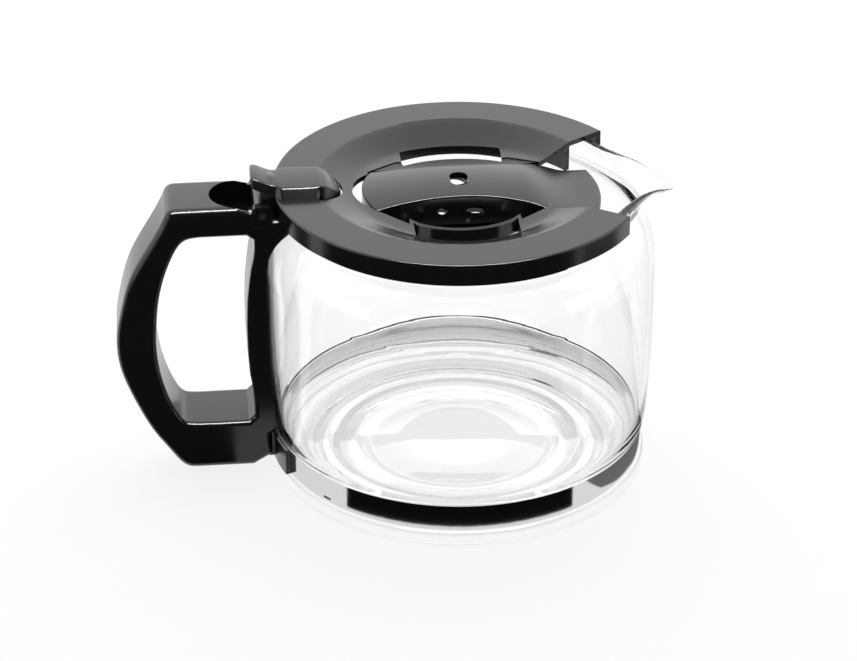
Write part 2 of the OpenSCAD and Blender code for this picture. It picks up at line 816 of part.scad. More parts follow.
module flow_insert() {
    pocket_z = lid_top_z - pocket_depth;
    under_z = pocket_z - lid_wall;
    lip_z = lid_top_z - dish_depth + 0.35 * lid_wall;
    slope_share = 0.37;
    rim_r = tail_reach + 1.5 * lid_wall;
    cone_rise = (rim_r - pocket_radius) * slope_share;
    cut_height = lid_top_z + pocket_depth;
    color([0.1, 0.1, 0.11])
        difference() {
            union() {
                // Bowl that drains to the pockets' floor
                intersection() {
                    rotate_extrude()
                        polygon([
                            [0, pocket_z], [pocket_radius, pocket_z], [rim_r, pocket_z + cone_rise],
                            [rim_r, pocket_z + cone_rise - lid_wall], [pocket_radius, under_z], [0, under_z]
                        ]);
                    linear_extrude(height = cut_height)
                        difference() {
                            union() {
                                core_plan(fit);
                                intersection() {
                                    circle(r = lip_radius - lip_wall / 2);
                                    square([2 * corner_x, 2 * lip_radius], center = true);
                                }
                            }
                            slot_plan(lip_wall / 2);
                        }
                }
                // Rounded lips along the drip slots
                intersection() {
                    rotate_extrude() {
                        translate([lip_radius - lip_wall, under_z])
                            square([lip_wall, lip_z - lip_wall / 2 - under_z]);
                        translate([lip_radius - lip_wall / 2, lip_z - lip_wall / 2])
                            circle(r = lip_wall / 2, $fn = 24);
                    }
                    translate([-slot_half - lip_wall, -lid_radius, 0])
                        cube([2 * (slot_half + lip_wall), 2 * lid_radius, cut_height]);
                }
                intersection() {
                    translate([0, 0, under_z])
                        linear_extrude(height = cut_height)
                            saddle_plan(0);
                    crown(0);
                }
                tongue();
            }
            intersection() {
                linear_extrude(height = cut_height)
                    saddle_plan(lid_wall);
                crown(roof_wall);
            }
            // Drain windows at the foot of the saddle's walls
            for (w = window_shares)
                translate([w[0] * pocket_radius, -lid_radius, pocket_z])
                    cube([(w[1] - w[0]) * pocket_radius, 2 * lid_radius, window_height]);
            // Steam vent
            translate([0, 0, pocket_z]) {
                translate([-vent_width / 2, (vent_width - vent_length) / 2, 0])
                    cube([vent_width, vent_length - vent_width, cut_height]);
                for (side = [-1, 1])
                    translate([0, side * (vent_length - vent_width) / 2, 0])
                        cylinder(r = vent_width / 2, h = cut_height);
            }
        }
}

// Thumb lever: sloping flanks, a nose that dips into the dish and a raised tab
tab_half = 8.9;

module thumb_lever() {
    top_z = lid_top_z + lever_height;
    back_x = -lid_radius;
    tab_x = back_x - tab_reach;
    tab_z = top_z + tab_rise;
    tab_wall = 3;
    nose_low_z = lid_top_z - dish_shallow_depth - lid_wall;
    color([0.1, 0.1, 0.11])
        intersection() {
            // Section across the lever
            rotate([90, 0, 90])
                linear_extrude(height = 4 * lid_radius, center = true)
                    polygon([
                        [-lever_foot_half, 0], [lever_foot_half, 0], [lever_foot_half, lid_top_z],
                        [lever_top_half, top_z], [lever_top_half, tab_z + over],
                        [-lever_top_half, tab_z + over], [-lever_top_half, top_z], [-lever_foot_half, lid_top_z]
                    ]);
            // Side view
            rotate([90, 0, 0])
                linear_extrude(height = 4 * lever_foot_half, center = true)
                    polygon(concat(
                        [[-dish_radius, lid_top_z], [-dish_radius, nose_low_z], [lever_front_x, nose_low_z]],
                        [for (i = [0 : arc_steps])
                            let (a = 90 * i / arc_steps)
                            [lever_front_x - nose_reach * (1 - cos(a)),
                             top_z - (lever_height + 0.8 * dish_shallow_depth) * (1 - sin(a))]],
                        [for (i = [0 : arc_steps])
                            let (t = i / arc_steps)
                            [back_x - tab_reach * t, top_z + tab_rise * (1 - cos(90 * t)) * 0.4 + tab_rise * t * 0.6]],
                        [[tab_x, tab_z - tab_wall], [back_x - tab_reach * 0.45, lid_top_z + lever_height * 0.5],
                         [back_x, lid_top_z]]
                    ));
            // Plan
            linear_extrude(height = 2 * tab_z)
                polygon(concat(
                    [[back_x + 2 * lid_wall, -lever_foot_half]],
                    nose_arc(0),
                    [[back_x + 2 * lid_wall, lever_foot_half], [back_x, tab_half], [tab_x - over, tab_half],
                     [tab_x - over, -tab_half], [back_x, -tab_half]]
                ));
        }
}

glass_jug();
base_band();
band_screw();
band_nut();
handle();
hinge_pin();
lid();
flow_insert();
thumb_lever();
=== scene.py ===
import bpy
import math
from mathutils import Matrix, Vector


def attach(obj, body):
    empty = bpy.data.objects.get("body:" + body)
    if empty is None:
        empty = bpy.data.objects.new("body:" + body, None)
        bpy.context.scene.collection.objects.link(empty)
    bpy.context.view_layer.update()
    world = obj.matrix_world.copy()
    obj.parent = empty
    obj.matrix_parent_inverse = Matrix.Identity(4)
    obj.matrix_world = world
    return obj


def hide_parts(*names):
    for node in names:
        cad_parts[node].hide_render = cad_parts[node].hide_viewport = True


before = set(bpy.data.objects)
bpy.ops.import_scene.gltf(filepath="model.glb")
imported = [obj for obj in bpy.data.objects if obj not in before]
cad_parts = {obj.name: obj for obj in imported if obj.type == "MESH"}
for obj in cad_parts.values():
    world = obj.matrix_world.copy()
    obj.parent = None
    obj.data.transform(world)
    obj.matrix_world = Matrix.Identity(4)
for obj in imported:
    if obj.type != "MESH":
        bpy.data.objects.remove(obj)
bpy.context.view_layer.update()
mm = 0.001  # the tables below are in millimetres and degrees
print("frame loaded")


class Wire:
    # a socket that can be used in plain arithmetic
    def __init__(self, bench, socket):
        self.bench = bench
        self.socket = socket

    def maths(self, operation, a, b, clamp=False):
        return self.bench.node("ShaderNodeMath", {"operation": operation, "use_clamp": clamp}, {0: a, 1: b})

    def __add__(self, other):
        return self.maths("ADD", self, other)

    def __radd__(self, other):
        return self.maths("ADD", other, self)

    def __sub__(self, other):
        return self.maths("SUBTRACT", self, other)

    def __rsub__(self, other):
        return self.maths("SUBTRACT", other, self)

    def __mul__(self, other):
        return self.maths("MULTIPLY", self, other)

    def __rmul__(self, other):
        return self.maths("MULTIPLY", other, self)

    def clamped(self):
        return self.maths("ADD", self, 0.0, clamp=True)


class Bench:
    # one material or world and the nodes in it
    def __init__(self, tree):
        self.tree = tree
        tree.nodes.clear()

    def node(self, kind, settings=None, inputs=None, output=0):
        made = self.tree.nodes.new(kind)
        for name, value in (settings or {}).items():
            if name == "stops":
                ramp = made.color_ramp
                while len(ramp.elements) < len(value):
                    ramp.elements.new(0.5)
                for element, (place, shade) in zip(ramp.elements, value):
                    element.position = place
                    element.color = (shade, shade, shade, 1.0)
            else:
                setattr(made, name, value)
        for name, value in (inputs or {}).items():
            if isinstance(value, Wire):
                self.tree.links.new(value.socket, made.inputs[name])
            else:
                made.inputs[name].default_value = value
        return Wire(self, made.outputs[output]) if made.outputs else None


def newMaterial(name):
    material = bpy.data.materials.new(name)
    material.use_nodes = True
    return material, Bench(material.node_tree)


def grey(shade):
    return shade, shade, shade, 1.0


def dress(piece, material):
    piece.data.materials.clear()
    piece.data.materials.append(material)


plasticLook = {
    "colour": (0.0065, 0.0065, 0.007, 1), "roughness": 0.2, "patches": 38.0, "patchSpread": 0.05,
    "grain": 900.0, "grainSpread": 0.04, "bump": 0.02, "bumpDepth": 0.0002,
}


def mouldedPlastic(name):
    look = plasticLook
    material, bench = newMaterial(name)
    place = bench.node("ShaderNodeTexCoord", output="Object")
    fine = bench.node("ShaderNodeTexNoise", {}, {"Vector": place, "Scale": look["grain"], "Detail": 3.0})
    wide = bench.node("ShaderNodeTexNoise", {}, {"Vector": place, "Scale": look["patches"], "Detail": 2.0})
    rough = look["roughness"] + (wide - 0.5) * look["patchSpread"] + (fine - 0.5) * look["grainSpread"]
    bump = bench.node("ShaderNodeBump", {}, {"Strength": look["bump"], "Distance": look["bumpDepth"], "Height": fine})
    shader = bench.node("ShaderNodeBsdfPrincipled", {}, {
        "Base Color": look["colour"], "Roughness": rough, "Specular IOR Level": 0.5, "Normal": bump})
    bench.node("ShaderNodeOutputMaterial", {}, {"Surface": shader})
    return material


steelLook = {"colour": (0.72, 0.715, 0.7, 1), "roughness": 0.1, "streak": 0.05, "stretch": (8.0, 8.0, 1400.0)}


def polishedSteel(name, extraRough=0.0):
    look = steelLook
    material, bench = newMaterial(name)
    place = bench.node("ShaderNodeTexCoord", output="Object")
    stretched = bench.node("ShaderNodeMapping", {}, {"Vector": place, "Scale": look["stretch"]})
    streaks = bench.node("ShaderNodeTexNoise", {}, {"Vector": stretched, "Scale": 2.0, "Detail": 4.0})
    rough = look["roughness"] + extraRough + (streaks - 0.5) * look["streak"]
    shader = bench.node("ShaderNodeBsdfPrincipled", {}, {
        "Base Color": look["colour"], "Metallic": 1.0, "Roughness": rough})
    bench.node("ShaderNodeOutputMaterial", {}, {"Surface": shader})
    return material


glassLook = {
    "ior": 1.47, "waves": 22.0, "bump": 0.02, "bumpDepth": 0.001,
    "edge": [(0.0, 0.99), (0.5, 0.985), (0.72, 0.95), (0.88, 0.8), (1.0, 0.42)],  # painted shade, darker where it is seen edge on
    "base": [(0.0, 0.62), (0.1, 0.7), (0.16, 1.0), (0.62, 1.0), (0.72, 0.72), (0.8, 1.0)], "baseTop": 7.5,
}


def clearGlass(name):
    look = glassLook
    material, bench = newMaterial(name)
    place = bench.node("ShaderNodeTexCoord", output="Object")
    waves = bench.node("ShaderNodeTexNoise", {}, {"Vector": place, "Scale": look["waves"], "Detail": 1.0})
    bump = bench.node("ShaderNodeBump", {}, {"Strength": look["bump"], "Distance": look["bumpDepth"], "Height": waves})
    # painted shade: the glass colour is greyed where it is seen edge on, standing in for dark surroundings seen
    # through its edges
    facing = bench.node("ShaderNodeLayerWeight", {}, {"Blend": 0.5}, "Facing")
    edge = bench.node("ShaderNodeValToRGB", {"stops": look["edge"]}, {"Fac": facing})
    # painted shade: fine grey lines are painted into the glass colour at the foot's edge and the groove's lip, by
    # height
    height = bench.node("ShaderNodeSeparateXYZ", {}, {"Vector": place}, "Z") * (1 / (look["baseTop"] * mm))
    paintedBaseLines = bench.node("ShaderNodeValToRGB", {"stops": look["base"]}, {"Fac": height})
    # the painted shade of the edges and of the base lines, multiplied into the glass colour
    paintedShade = bench.node("ShaderNodeMix", {"data_type": "RGBA", "blend_type": "MULTIPLY"}, {0: 1.0, 6: edge, 7: paintedBaseLines}, 2)
    shader = bench.node("ShaderNodeBsdfPrincipled", {}, {
        "Base Color": paintedShade, "Roughness": 0.0, "IOR": look["ior"], "Transmission Weight": 1.0, "Normal": bump})
    bench.node("ShaderNodeOutputMaterial", {}, {"Surface": shader})
    return material


blackPlastic = mouldedPlastic("blackPlastic")
bandSteel = polishedSteel("bandSteel")
pinSteel = polishedSteel("pinSteel", 0.15)
jugGlass = clearGlass("jugGlass")
finishes = {
    "handle": blackPlastic, "lid": blackPlastic, "flow_insert": blackPlastic, "thumb_lever": blackPlastic,
    "base_band": bandSteel, "band_screw": pinSteel, "band_nut": pinSteel, "hinge_pin": pinSteel, "glass_jug": jugGlass,
}
for nodeName, finish in finishes.items():
    dress(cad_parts[nodeName], finish)
print("finishes made")


def deselectAll():
    if bpy.context.object and bpy.context.object.mode != "OBJECT":
        bpy.ops.object.mode_set(mode="OBJECT")
    bpy.ops.object.select_all(action="DESELECT")


def activate(piece):
    deselectAll()
    piece.select_set(True)
    bpy.context.view_layer.objects.active = piece


def openMesh(piece):
    # edit mode with everything selected
    activate(piece)
    bpy.ops.object.mode_set(mode="EDIT")
    bpy.ops.mesh.select_all(action="SELECT")


def faceOutwards():
    # from edit mode back to object mode, with all faces turned outwards
    bpy.ops.mesh.select_all(action="SELECT")
    bpy.ops.mesh.normals_make_consistent(inside=False)
    bpy.ops.object.mode_set(mode="OBJECT")


def fillOutline():
    bpy.ops.mesh.select_all(action="SELECT")
    bpy.ops.mesh.edge_face_add()


def extrudeBy(x, y, z):
    bpy.ops.mesh.extrude_region_move(TRANSFORM_OT_translate={"value": (x * mm, y * mm, z * mm)})


def spinRound(steps, angle):
    bpy.ops.mesh.spin(steps=steps, angle=math.radians(angle), center=(0, 0, 0), axis=(0, 0, 1))


def settle(piece):
    # the place, turn and size go into the mesh
    activate(piece)
    bpy.ops.object.transform_apply(location=True, rotation=True, scale=True)


def joinInto(main, others):
    activate(main)
    for other in others:
        other.select_set(True)
    bpy.ops.object.join()


def arcPoints(x, z, r, start, end, steps=6):
    angles = [math.radians(start + (end - start) * k / steps) for k in range(steps + 1)]
    return [(x + r * math.cos(a), z + r * math.sin(a)) for a in angles]


def drawLine(name, points):
    # a chain of edges, extruded point by point from a plane merged to one vertex
    deselectAll()
    here = Vector(points[0]) * mm
    bpy.ops.mesh.primitive_plane_add(size=0.001, location=(0, 0, 0))
    line = bpy.context.object
    line.name = name
    bpy.ops.object.mode_set(mode="EDIT")
    bpy.ops.mesh.select_mode(type="VERT")
    bpy.ops.mesh.select_all(action="SELECT")
    bpy.ops.mesh.merge(type="CENTER")
    bpy.ops.transform.translate(value=here)
    for point in points[1:]:
        there = Vector(point) * mm
        bpy.ops.mesh.extrude_region_move(TRANSFORM_OT_translate={"value": there - here})
        here = there
    return line


def applyAll(piece):
    activate(piece)
    for modifier in list(piece.modifiers):
        bpy.ops.object.modifier_apply(modifier=modifier.name)


def smoothShade(piece, angle):
    activate(piece)
    bpy.ops.object.shade_smooth_by_angle(angle=math.radians(angle))


def between(table, x):
    # reads a table of (x, value) pairs
    if x <= table[0][0]:
        return table[0][1]
    for (x0, y0), (x1, y1) in zip(table, table[1:]):
        if x <= x1:
            return y0 + (y1 - y0) * (x - x0) / (x1 - x0)
    return table[-1][1]


def easeIn(t):
    # 0 to 1 with level ends
    return t * t * (3 - 2 * t)


def cutCorners(points, rounds):
    # an open row of points, with each corner cut off as many times as there are rounds
    for _ in range(rounds):
        cut = [points[0]]
        for k, ((x0, z0), (x1, z1)) in enumerate(zip(points, points[1:])):
            if k > 0:
                cut.append((x0 * 0.75 + x1 * 0.25, z0 * 0.75 + z1 * 0.25))
            if k < len(points) - 2:
                cut.append((x0 * 0.25 + x1 * 0.75, z0 * 0.25 + z1 * 0.75))
        points = cut + [points[-1]]
    return points


def copyMoulding(nodeName, name):
    # a merged copy of the CAD moulding, with its loose triangles joined
    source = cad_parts[nodeName]
    piece = source.copy()
    piece.data = source.data.copy()
    piece.name = name
    piece.parent = None
    piece.matrix_world = Matrix.Identity(4)
    bpy.context.collection.objects.link(piece)
    openMesh(piece)
    bpy.ops.mesh.remove_doubles(threshold=0.004 * mm)
    bpy.ops.mesh.dissolve_limited(angle_limit=math.radians(0.3))
    bpy.ops.object.mode_set(mode="OBJECT")
    if piece.data.has_custom_normals:
        bpy.ops.mesh.customdata_custom_splitnormals_clear()
    return piece


def handIn(piece, nodeName, body, angle, material):
    # smooth curves, level normals on the large faces, then the piece joins its body
    smoothShade(piece, angle)
    weigh = piece.modifiers.new("weigh", "WEIGHTED_NORMAL")
    weigh.keep_sharp = True
    applyAll(piece)
    dress(piece, material)
    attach(piece, body)
    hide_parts(nodeName)


slitPlace = {"azimuth": -140.0, "radius": 71.02, "height": 8.15, "size": (0.2, 3.8, 1.2)}


def shadeSlit():
    # painted shade: a black plate behind the band's slit, so that the slit shows dark
    look = slitPlace
    turn = math.radians(look["azimuth"])
    bpy.ops.mesh.primitive_cube_add(size=1)
    plate = bpy.context.object
    plate.name = "slitShadePlate"
    plate.scale = Vector(look["size"]) * mm
    plate.rotation_euler = (0, 0, turn)
    plate.location = Vector((look["radius"] * math.cos(turn), look["radius"] * math.sin(turn), look["height"])) * mm
    settle(plate)
    dress(plate, blackPlastic)
    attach(plate, "jug")


shadeSlit()


# pairs are (radius, height), arcs (radius, height, round, start, end), and the lip is (azimuth, radius)
jugShape = {
    "wall": 2.2, "steps": 200, "smooth": 40,
    "underside": [(0.0, 1.6), (20.0, 1.6), (33.0, 1.6), (34.5, 1.25), (36.0, 1.6), (40.5, 1.55), (42.0, 1.1),
                  (44.0, 0.9), (46.0, 0.25), (47.5, 0.06), (50.0, 0.0), (53.5, 0.0), (54.5, 0.5), (57.0, 0.55),
                  (58.0, 0.0), (62.0, 0.0)],
    "bead": [(70.9, 1.9, 1.9, -90, 0), (70.6, 4.1, 2.2, 0, 78)],
    "groove": [(70.85, 6.5), (70.8, 7.2), (70.8, 12.0), (70.8, 16.6), (71.0, 17.2), (71.5, 17.5)],
    "flank": [(72.4, 17.7), (72.8, 18.6), (73.3, 21.2), (73.75, 25.6), (74.1, 32.6), (74.7, 41.6), (74.99, 49.6),
              (74.99, 62.0), (74.99, 75.0), (74.99, 84.0)],
    "shoulder": [(74.93, 88.0), (74.7, 91.0), (74.2, 93.7), (73.4, 96.2), (72.3, 98.4), (70.9, 100.4),
                 (69.3, 102.2), (67.6, 103.8), (66.2, 105.2), (65.3, 106.6), (65.0, 108.2)],
    "neck": 65.0, "neckTop": 111.0, "rim": (63.9, 114.6, 1.1, 0, 180),
    "innerLow": 45.0, "thinFrom": 86.0, "thinBy": 0.8,
    "foot": [(72.5, 41.6), (71.95, 32.6), (71.5, 26.0), (71.1, 22.8), (70.5, 20.3), (69.7, 18.2), (69.0, 16.4)],
    "corner": (59.6, 14.2, 9.0, 0, -90),
    "floor": [(56.0, 5.3), (53.0, 5.7), (50.0, 5.3), (43.0, 5.2), (40.5, 5.6), (38.0, 5.2), (20.0, 5.2), (0.0, 5.2)],
    "lip": [(0, 83.0), (1.5, 82.2), (3.5, 79.9), (5.2, 77.9), (7.5, 75.4), (10.3, 73.0), (14, 70.2), (18.2, 67.9),
            (23, 66.1), (28, 65.3), (34, 65.0)],
    "lipFoot": 99.0, "lipTop": 115.7, "lipDrop": 5.6, "dropFrom": 70.5, "dropReach": 12.5,
}


def jugProfile():
    # the glass in section, from the middle of its underside up, over the rim and down to the middle of its floor
    look = jugShape
    side = look["flank"] + look["shoulder"]
    outer = list(look["underside"])
    for arc in look["bead"]:
        outer += arcPoints(*arc, 5)
    outer += look["groove"] + side + [(look["neck"], look["neckTop"])]
    inner = [(look["neck"] - look["wall"], look["neckTop"])]
    inner += [(r - look["wall"], z - (look["thinBy"] if z > look["thinFrom"] else 0))
              for r, z in reversed(side) if z > look["innerLow"]]
    return outer + arcPoints(*look["rim"], 8) + inner + look["foot"] + arcPoints(*look["corner"], 8) + look["floor"]


def buildJug():
    look = jugShape
    jug = drawLine("jugGlassBody", [(r, 0, z) for r, z in jugProfile()])
    bpy.ops.mesh.select_all(action="SELECT")
    spinRound(look["steps"], 360)
    bpy.ops.mesh.select_all(action="SELECT")
    bpy.ops.mesh.remove_doubles(threshold=0.005 * mm)
    faceOutwards()
    # the pouring lip is drawn out of the neck and droops at its tip
    for vertex in jug.data.vertices:
        x, y, z = vertex.co / mm
        r = math.hypot(x, y)
        if z < look["lipFoot"] or r < 1:
            continue
        reach = between(look["lip"], abs(math.degrees(math.atan2(y, x))))
        rise = min(1.0, (z - look["lipFoot"]) / (look["lipTop"] - look["lipFoot"]))
        push = (reach - look["neck"]) * rise ** 1.7
        fall = max(0.0, (reach - look["dropFrom"]) / look["dropReach"]) ** 1.6 * look["lipDrop"] * rise ** 2
        vertex.co = Vector((x * (r + push) / r, y * (r + push) / r, z - fall)) * mm
    smoothShade(jug, look["smooth"])
    dress(jug, jugGlass)
    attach(jug, "jug")
    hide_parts("glass_jug")
    print("jug blown")


buildJug()


# the outline of the grip and of its finger opening, as (x, z)
handleShape = {
    "half": 13.4, "seam": -97.0, "outerRound": 3.0, "innerRound": 2.16, "smooth": 34,
    "outer": [(-90, 116.0), (-103.2, 116.0), (-110.2, 116.0), (-112.2, 111.0), (-115.6, 104.8), (-123.2, 92.5),
              (-126.9, 84.0), (-129.4, 74.5), (-131.6, 64.4), (-131.9, 55.5), (-130.5, 46.5), (-125.8, 33.6),
              (-120.1, 21.3), (-114.5, 13.4), (-110.0, 6.7), (-106.6, 4.1), (-103.2, 3.9), (-90, 3.9)],
    "opening": [(-90, 24.1), (-103.5, 24.1), (-107.7, 24.9), (-110.5, 29.7), (-113.4, 36.9), (-115.8, 46.5),
                (-116.8, 56.1), (-116.6, 64.1), (-115.4, 77.0), (-112.6, 88.2), (-108.4, 98.2), (-105.0, 103.0),
                (-100.4, 104.2), (-90, 104.2)],
    "innerReach": (-117.0, -113.0), "bend": 90.0,  # how far back the opening goes, below and above the bend
}


def selectEdges(piece, test):
    # selects the edges whose two ends, in millimetres, pass the test
    deselectAll()
    bpy.context.view_layer.objects.active = piece
    bpy.ops.object.mode_set(mode="EDIT")
    bpy.ops.mesh.select_mode(type="EDGE")
    bpy.ops.mesh.select_all(action="DESELECT")
    bpy.ops.object.mode_set(mode="OBJECT")
    for edge in piece.data.edges:
        edge.select = test(*(piece.data.vertices[k].co / mm for k in edge.vertices))
    bpy.ops.object.mode_set(mode="EDIT")


def buildHandle():
    # the grip is drawn afresh with a finer curve and sewn to the moulding's head and foot
    look = handleShape
    half = look["half"]
    openEnd = look["outer"][0][0]
    low, high = look["opening"][0][1], look["opening"][-1][1]
    outline = cutCorners(look["outer"], 3) + cutCorners(look["opening"], 3)
    grip = drawLine("handleGrip", [(x, -half, z) for x, z in outline])
    fillOutline()
    extrudeBy(0, 2 * half, 0)
    faceOutwards()

    def onSide(a, b):
        return abs(a.y - b.y) < 0.01 and abs(abs(a.y) - half) < 0.01 and min(a.x, b.x) < openEnd - 0.1

    def inner(v):
        return low - 0.05 < v.z < high + 0.05 and v.x > look["innerReach"][0 if v.z < look["bend"] else 1]

    for amount, wanted in ((look["outerRound"], False), (look["innerRound"], True)):
        selectEdges(grip, lambda a, b: onSide(a, b) and inner(a) == wanted and inner(b) == wanted)
        bpy.ops.mesh.bevel(offset=amount * mm, segments=3, affect="EDGES", clamp_overlap=False)
    head = copyMoulding("handle", "handleMoulding")
    for part, outside in ((grip, False), (head, True)):
        openMesh(part)
        bpy.ops.mesh.bisect(plane_co=(look["seam"] * mm, 0, 0), plane_no=(1, 0, 0),
                            clear_inner=outside, clear_outer=not outside)
    joinInto(head, [grip])
    openMesh(head)
    bpy.ops.mesh.remove_doubles(threshold=0.02 * mm)
    bpy.ops.object.mode_set(mode="OBJECT")
    handIn(head, "handle", "jug", look["smooth"], blackPlastic)
    print("handle shaped")


buildHandle()


lidShape = {
    "edge": (53.0, 53.6), "edgeHeight": 117.95, "edgeMove": 0.8, "smooth": 26,
    "slotWall": (40.65, 42.0), "slotTop": 111.9, "slotSpan": 60, "slotSteps": 28,
    "slotLow": {90: 108.9, -90: 101.0},  # by the azimuth of the slot's middle
}


def addSlotWall(side, low):
    # a short wall under the slot's outer edge
    look = lidShape
    near, far = look["slotWall"]
    wall = drawLine("slotWall", [(near, 0, look["slotTop"]), (far, 0, look["slotTop"]), (far, 0, low), (near, 0, low)])
    fillOutline()
    spinRound(look["slotSteps"], look["slotSpan"])
    faceOutwards()
    wall.rotation_euler = (0, 0, math.radians(side + look["slotSpan"] / 2))
    settle(wall)
    return wall


def buildLid():
    look = lidShape
    lid = copyMoulding("lid", "lidMoulding")
    # the ring's inner edge runs over into the dish
    for vertex in lid.data.vertices:
        x, y, z = vertex.co / mm
        r = math.hypot(x, y)
        if z > look["edgeHeight"] and look["edge"][0] < r < look["edge"][1]:
            vertex.co.x *= (r + look["edgeMove"]) / r
            vertex.co.y *= (r + look["edgeMove"]) / r
    for side, low in look["slotLow"].items():
        joinInto(lid, [addSlotWall(side, low)])
    handIn(lid, "lid", "lid", look["smooth"], blackPlastic)
    print("lid shaped")


buildLid()


# tab and foot are (x, half width), the nose (x of its centre, radius), top and bottom (x, z)
leverShape = {
    "tab": (-78.6, 8.8), "tabEnd": -70.3, "foot": (-66.5, 11.7), "nose": (-57.6, 12.9), "tip": -44.75,
    "flat": 9.4, "flatShare": 0.8, "round": 1.0, "lean": 53, "crown": 0.3, "smooth": 48,
    "corner": 2.2, "cornerShare": 0.14, "grid": (72, 32), "crowd": 1.25,
    "top": [(-78.6, 124.9), (-78.0, 125.3), (-76.0, 124.7), (-73.5, 123.5), (-71.0, 122.5), (-68.0, 122.0),
            (-53.0, 121.9), (-50.5, 121.2), (-48.4, 119.7), (-46.6, 117.9), (-45.3, 116.2), (-44.7, 115.0)],
    "bottom": [(-78.6, 121.9), (-74.0, 119.9), (-71.4, 118.4), (-70.2, 118.02), (-54.2, 118.02), (-53.2, 115.2),
               (-44.7, 114.2)],
}


def leverFoot(x):
    # half the lever's width where it stands
    look = leverShape
    tabHalf, footHalf = look["tab"][1], look["foot"][1]
    if x < look["foot"][0]:
        share = max(0.0, (x - look["tabEnd"]) / (look["foot"][0] - look["tabEnd"]))
        return tabHalf + (footHalf - tabHalf) * easeIn(share)
    centre, radius = look["nose"]
    return footHalf if x < centre else math.sqrt(max(0.2, radius ** 2 - (x - centre) ** 2)) * footHalf / radius


def leverSection(across, foot, low, high):
    # the upper skin in section: a crowned top, a rounded shoulder and a leaning flank
    look = leverShape
    lean = math.radians(look["lean"])
    flat = min(look["flat"], foot * look["flatShare"])
    radius = min(look["round"], 0.5 * (high - low))
    top = high - look["crown"]
    if across <= 0.6:
        return across / 0.6 * (flat - radius), high - look["crown"] * (across / 0.6) ** 2
    if across <= 0.8:
        turn = (across - 0.6) / 0.2 * lean
        return flat - radius + radius * math.sin(turn), top - radius * (1 - math.cos(turn))
    y0, z0 = flat - radius + radius * math.sin(lean), top - radius * (1 - math.cos(lean))
    share = (across - 0.8) / 0.2
    return y0 + (foot - y0) * share, z0 + (low - z0) * share


def leverSkin(name, upper):
    look = leverShape
    deselectAll()
    bpy.ops.mesh.primitive_grid_add(x_subdivisions=look["grid"][0], y_subdivisions=look["grid"][1], size=2)
    skin = bpy.context.object
    skin.name = name
    start = look["tab"][0]
    for vertex in skin.data.vertices:
        along, across = (vertex.co.x + 1) / 2, vertex.co.y
        x = start + (look["tip"] - start) * (1 - (1 - along) ** look["crowd"])
        foot, low, high = leverFoot(x), between(look["bottom"], x), between(look["top"], x)
        y, z = across * foot, low
        if upper:
            y, z = leverSection(abs(across), foot, low, high)
            y = math.copysign(y, across)
        # rounded back corners of the tab
        y *= 1 - look["cornerShare"] * (max(0.0, look["corner"] - (x - start)) / look["corner"]) ** 2
        vertex.co = Vector((x, y, z)) * mm
    return skin


def buildLever():
    # an upper skin over a lower one, both on the same plan, sewn along their edges
    lever = leverSkin("thumbLever", True)
    joinInto(lever, [leverSkin("leverUnder", False)])
    openMesh(lever)
    bpy.ops.mesh.remove_doubles(threshold=0.02 * mm)
    bpy.ops.mesh.select_mode(type="EDGE")
    bpy.ops.mesh.select_all(action="DESELECT")
    bpy.ops.mesh.select_non_manifold(extend=False, use_wire=False, use_multi_face=False, use_non_contiguous=False)
    bpy.ops.mesh.bridge_edge_loops()
    faceOutwards()
    handIn(lever, "thumb_lever", "lid", leverShape["smooth"], blackPlastic)
    print("lever shaped")


buildLever()


# the saddle's upper face, its walls, and the tray with the pockets under it
insertShape = {
    "top": 118.3, "longRadius": 217.0, "crossRadius": 90.0, "waist": 13.1, "grid": (64, 18), "smooth": 38,
    "tail": (33.5, 16.8), "tailRound": (36.7, 17.2), "head": (33.0, 19.6), "headFall": 9.0,
    "tongue": (17.0, 53.8, 111.4), "tongueThick": 2.0, "tongueFoot": 6.0, "fall": (25.0, 46.0),
    "foot": 108.5, "wall": 1.8, "edge": 0.7, "brow": 0.9,
    "windows": [(-7.4, 2.0, -1), (5.2, 3.9, -1), (0.0, 5.0, 1)], "windowZ": (111.0, 1.9),  # x, half width, side
    "vent": (3.4, 5.5),
    "floor": 108.8, "under": 107.0, "rimTop": 111.6, "rimWidth": 1.3, "slope": 0.3,
    "lipRadius": 31.2, "lipTop": 112.5, "lipFall": 0.4, "bowlRadius": 24.0, "slotHalf": 19.5, "corner": (21.6, 26.9),
    "pocketEnd": (19.5, 16.7),
    "holes": [(0.0, 14.5, 4.8, 7.5), (-7.4, -8.6, 2.2, 3.0), (5.2, -8.8, 3.4, 2.2)],  # x, y, half widths
    "dish": (114.7, 2.85), "backRimDrop": 1.3, "shelfThick": 0.9, "shelfDrop": 0.1, "shelfBack": 0.4, "curtain": 104.0,
}


def dishHeight(x, y):
    # height of the dish where it meets the insert
    middle, depth = insertShape["dish"]
    return middle - depth * (y / math.hypot(x, y)) ** 2


def saddleHalf(x):
    # half the saddle's width: narrow at its waist, then out to the tail or the head, and in again to the tongue
    look = insertShape
    endX, endHalf = look["tail"] if x < 0 else look["head"]
    if x > endX:
        turn = math.pi * min(1.0, (x - endX) / look["headFall"])
        return endHalf + (look["tongue"][0] - endHalf) * (1 - math.cos(turn)) / 2
    return look["waist"] + (endHalf - look["waist"]) * min(1.0, abs(x) / endX) ** 2


def ovalCutter(place, halves, tilt=0.0):
    bpy.ops.mesh.primitive_cylinder_add(vertices=32, radius=1, depth=20 * mm, rotation=(math.radians(tilt), 0, 0),
                                        location=Vector(place) * mm)
    cutter = bpy.context.object
    cutter.scale = (halves[0] * mm, halves[1] * mm, 1)
    return cutter


def punch(piece, cutter):
    # cuts the cutter out of the piece
    cut = piece.modifiers.new("cut", "BOOLEAN")
    cut.operation = "DIFFERENCE"
    cut.solver = "EXACT"
    cut.object = cutter
    applyAll(piece)
    bpy.data.objects.remove(cutter, do_unlink=True)


